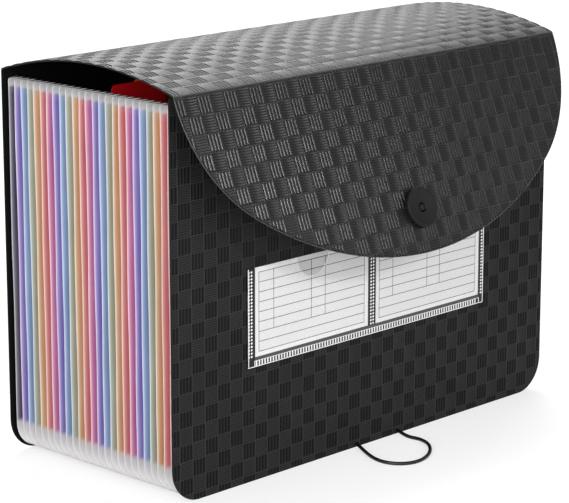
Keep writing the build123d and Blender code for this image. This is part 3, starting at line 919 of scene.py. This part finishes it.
layers, colours = [], []
for extra in (0.0, FILM_SHIFT):
    rows = []
    for x, z, nx, nz in route:
        row = []
        near_top = max(0.0, z - GUSSET_TOP + TOP_ROUND)
        eased = TOP_ROUND - sqrt(max(0.0, TOP_ROUND**2 - near_top**2))
        for pleat, share, depth in sections:
            inwards = extra + (hypot(depth, eased) if eased else depth)
            y = FRONT_INNER_Y + PLEAT_PITCH * (pleat + share) + (pleat_sway(pleat, depth, z) if nz == 0 else 0)
            row.append((x - nx * inwards, y, z - nz * inwards))
            colours.append(pleat_colour(pleat, share, depth, z))
        rows.append(row)
    layers.append(np.array(rows))
high, wide = layers[0].shape[:2]
points = np.concatenate([layer.reshape(-1, 3) for layer in layers])
layer_size = high * wide
faces = []
for j in range(high - 1):
    for i in range(wide - 1):
        a = j * wide + i
        faces.append((a, a + 1, a + wide + 1, a + wide))
        faces.append((a + layer_size, a + wide + layer_size, a + wide + 1 + layer_size, a + 1 + layer_size))
for i in range(wide - 1):
    faces.append((i, i + layer_size, i + 1 + layer_size, i + 1))
    a = (high - 1) * wide + i
    faces.append((a, a + 1, a + 1 + layer_size, a + layer_size))
for j in range(high - 1):
    a = j * wide
    faces.append((a, a + wide, a + wide + layer_size, a + layer_size))
    a += wide - 1
    faces.append((a, a + layer_size, a + wide + layer_size, a + wide))
mesh = bpy.data.meshes.new("gusset_pleats")
mesh.from_pydata((points / 1000).tolist(), [], faces)
mesh.polygons.foreach_set("use_smooth", [True] * len(faces))
attribute = mesh.color_attributes.new("tint", "FLOAT_COLOR", "POINT")
attribute.data.foreach_set("color", np.hstack([np.array(colours), np.ones((len(colours), 1))]).ravel())
mesh.materials.append(pleat_film)
mesh.update()
gusset = bpy.data.objects.new("gusset_pleats", mesh)
scene.collection.objects.link(gusset)
dress(gusset, "back", "frosted_film", "gusset_film")
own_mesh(gusset)

# Dividers
for index in range(1, POCKETS):
    colour = COLOUR_ORDER[(index - 1) % len(COLOUR_ORDER)] if index < POCKETS - 1 else "purple"
    divider = nodes[f"divider_{index:02d}"]
    divider.data.materials.clear()
    divider.data.materials.append(divider_materials[colour])

# Floor, light and camera
FLOOR_HALF = 30
FLOOR_GREY = 0.44
# Near and far distance from the middle of the floor, and how much it is lifted towards white there
FLOOR_LIFT = (0.3, 1.6, 0.575, 0.78)
# The way from the front to the back of the studio, and how its light grows along it
STUDIO_BACK = (-0.3, 0.95, 0.0)
STUDIO_LIGHT = (-0.1, 0.55, 0.3, 1.0)
floor_mesh = bpy.data.meshes.new("floor")
floor_corners = [(FLOOR_HALF * x, FLOOR_HALF * y, 0) for x, y in ((-1, -1), (1, -1), (1, 1), (-1, 1))]
floor_mesh.from_pydata(floor_corners, [], [(0, 1, 2, 3)])
floor = bpy.data.objects.new("floor", floor_mesh)
scene.collection.objects.link(floor)
floor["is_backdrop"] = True
floor_paint = bpy.data.materials.new("floor_paint")
floor_paint.use_nodes = True
floor_mesh.materials.append(floor_paint)
tree = floor_paint.node_tree
floor_shader = tree.nodes["Principled BSDF"]
floor_shader.inputs["Base Color"].default_value = (FLOOR_GREY, FLOOR_GREY, FLOOR_GREY, 1)
floor_shader.inputs["Roughness"].default_value = 0.9
floor_shader.inputs["Specular IOR Level"].default_value = 0.0
floor_shader.inputs["Emission Color"].default_value = (1, 1, 1, 1)
path = tree.nodes.new("ShaderNodeLightPath")
seen = path.outputs["Is Camera Ray"]
for kind in ("Is Glossy Ray", "Is Transmission Ray"):
    either = tree.nodes.new("ShaderNodeMath")
    either.operation = "MAXIMUM"
    tree.links.new(seen, either.inputs[0])
    tree.links.new(path.outputs[kind], either.inputs[1])
    seen = either.outputs[0]
lift = tree.nodes.new("ShaderNodeMath")
lift.operation = "MULTIPLY"
tree.links.new(seen, lift.inputs[0])
spot = tree.nodes.new("ShaderNodeTexCoord")
distance = tree.nodes.new("ShaderNodeVectorMath")
distance.operation = "LENGTH"
tree.links.new(spot.outputs["Object"], distance.inputs[0])
tree.links.new(map_range(tree, distance.outputs["Value"], *FLOOR_LIFT), lift.inputs[1])
tree.links.new(lift.outputs[0], floor_shader.inputs["Emission Strength"])

# The studio is white behind the folder and grey in front of it
world = bpy.data.worlds.new("studio")
scene.world = world
world.use_nodes = True
tree = world.node_tree
background = tree.nodes["Background"]
background.inputs["Color"].default_value = (1, 1, 1, 1)
way = tree.nodes.new("ShaderNodeTexCoord")
behind = tree.nodes.new("ShaderNodeVectorMath")
behind.operation = "DOT_PRODUCT"
behind.inputs[1].default_value = STUDIO_BACK
tree.links.new(way.outputs["Generated"], behind.inputs[0])
strength = map_range(tree, behind.outputs["Value"], *STUDIO_LIGHT)
tree.links.new(strength, background.inputs["Strength"])


def softbox(name, place, aim, width, height, power):
    """An area lamp that the camera doesn't see."""
    lamp = bpy.data.lights.new(name, "AREA")
    lamp.shape = "RECTANGLE"
    lamp.size, lamp.size_y = width, height
    lamp.energy = power
    obj = bpy.data.objects.new(name, lamp)
    obj.location = place
    obj.rotation_mode = "QUATERNION"
    obj.rotation_quaternion = (Vector(aim) - Vector(place)).to_track_quat("-Z", "Y")
    obj.visible_camera = False
    scene.collection.objects.link(obj)


# Lamps: name, place, aim, width, height, power
LAMPS = (
    ("key", (-1.5, -0.55, 0.75), (0, 0, 0.12), 1.0, 1.0, 23.5),
    ("front", (-0.17, -1.33, 0.75), (0, -0.05, 0.16), 0.17, 0.17, 4),
    ("side", (0.8, -1.24, 0.6), (0, -0.03, 0.17), 0.4, 0.4, 2.8),
    ("fill", (-0.6, -1.6, 0.35), (0, -0.05, 0.12), 1.0, 0.5, 5.5),
    ("overhead", (0.7, 0.5, 1.6), (0, 0, 0.2), 0.8, 0.8, 14),
    ("rim", (0.55, 0.6, 0.7), (0, 0.02, 0.24), 0.6, 0.4, 2.5),
)
for lamp in LAMPS:
    softbox(*lamp)

CAMERA_LENS, CAMERA_SENSOR = 156.56, 36
CAMERA_PLACE = (-1.0701, -1.01292, 0.4697)
CAMERA_AIM = (-0.00157, 0.02328, 0.1081)
camera_data = bpy.data.cameras.new("camera")
camera_data.sensor_width = CAMERA_SENSOR
camera_data.lens = CAMERA_LENS
camera_data.clip_start, camera_data.clip_end = 0.01, 100
camera = bpy.data.objects.new("camera", camera_data)
camera.location = CAMERA_PLACE
camera.rotation_mode = "QUATERNION"
camera.rotation_quaternion = (Vector(CAMERA_AIM) - Vector(CAMERA_PLACE)).to_track_quat("-Z", "Y")
scene.collection.objects.link(camera)
scene.camera = camera
scene.view_settings.view_transform = "Standard"

low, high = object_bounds()
{"cad": [list(cad_low), list(cad_high)], "visual": [list(low), list(high)]}
